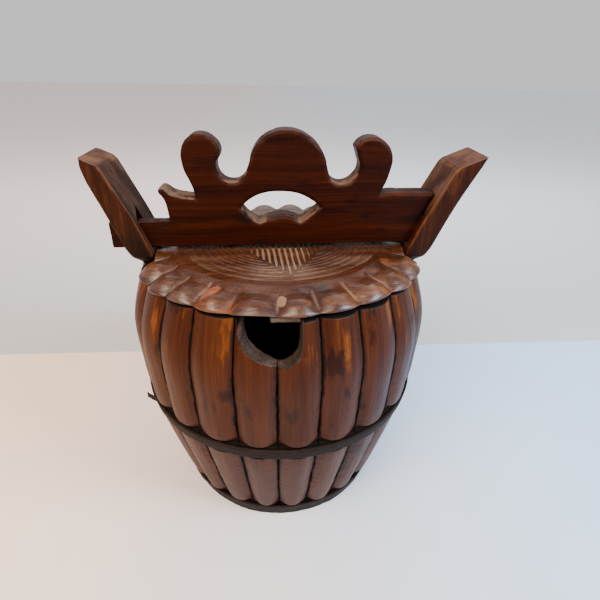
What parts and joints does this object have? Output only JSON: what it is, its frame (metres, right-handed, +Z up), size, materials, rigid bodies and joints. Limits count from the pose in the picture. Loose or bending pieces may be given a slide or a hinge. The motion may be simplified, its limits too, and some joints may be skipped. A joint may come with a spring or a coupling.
{
  "type": "coopered teapot bucket",
  "caption": "Barrel-shaped coopered wooden bucket with a pouring notch, a lobed lid and a carved handle board held between two tall ear staves.",
  "frame": {"origin": "centre of the base on the floor, on the barrel's axis", "axes": "+Z up; the pouring notch faces -Y; the ears and the handle board lie along X, with the board's through tenon at -X"},
  "size_m": [0.3092, 0.2564, 0.3313],
  "materials": {
    "stave_wood": "worn red-brown lacquered wood",
    "board_wood": "dark red-brown stained wood, worn on its edges",
    "lid_wood": "worn lacquered wood",
    "inner_wood": "bare aged wood",
    "pale_wood": "bare sawn wood",
    "bamboo": "split bamboo",
    "dark_iron": "dull dark forged strap"
  },
  "bodies": {
    "bucket": {"stave_01": "stave_wood", "stave_02": "stave_wood", "stave_03": "stave_wood", "stave_04": "stave_wood", "stave_05": "stave_wood", "stave_06": "stave_wood", "stave_07": "stave_wood", "stave_08": "stave_wood", "stave_09": "stave_wood", "stave_10": "stave_wood", "stave_11": "stave_wood", "stave_12": "stave_wood", "stave_13": "stave_wood", "stave_14": "stave_wood", "stave_15": "stave_wood", "stave_16": "stave_wood", "stave_17": "stave_wood", "stave_18": "stave_wood", "stave_19": "stave_wood", "stave_20": "stave_wood", "ear_stave_left": "stave_wood", "ear_stave_right": "stave_wood", "stave_dowel_01": "bamboo", "stave_dowel_02": "bamboo", "stave_dowel_03": "bamboo", "stave_dowel_04": "bamboo", "stave_dowel_05": "bamboo", "stave_dowel_06": "bamboo", "stave_dowel_07": "bamboo", "stave_dowel_08": "bamboo", "stave_dowel_09": "bamboo", "stave_dowel_10": "bamboo", "stave_dowel_11": "bamboo", "stave_dowel_12": "bamboo", "stave_dowel_13": "bamboo", "stave_dowel_14": "bamboo", "stave_dowel_15": "bamboo", "stave_dowel_16": "bamboo", "stave_dowel_17": "bamboo", "stave_dowel_18": "bamboo", "stave_dowel_19": "bamboo", "stave_dowel_20": "bamboo", "stave_dowel_21": "bamboo", "stave_dowel_22": "bamboo", "bottom_board_front": "inner_wood", "bottom_board_middle": "inner_wood", "bottom_board_back": "inner_wood", "base_band": "dark_iron", "mid_hoop": "dark_iron"},
    "handle": {"handle_board": "board_wood"},
    "lid": {"lid_board_front": "lid_wood", "lid_board_back": "lid_wood", "lid_batten": "pale_wood"}
  },
  "joints": [
    {"name": "handle_slide", "type": "slide", "parent": "bucket", "child": "handle", "axis": [-1, 0, 0], "range_m": [0, 0.0154]},
    {"name": "lid_lift", "type": "slide", "parent": "bucket", "child": "lid", "axis": [0, 0, 1], "range_m": [0, 0.0017]}
  ]
}
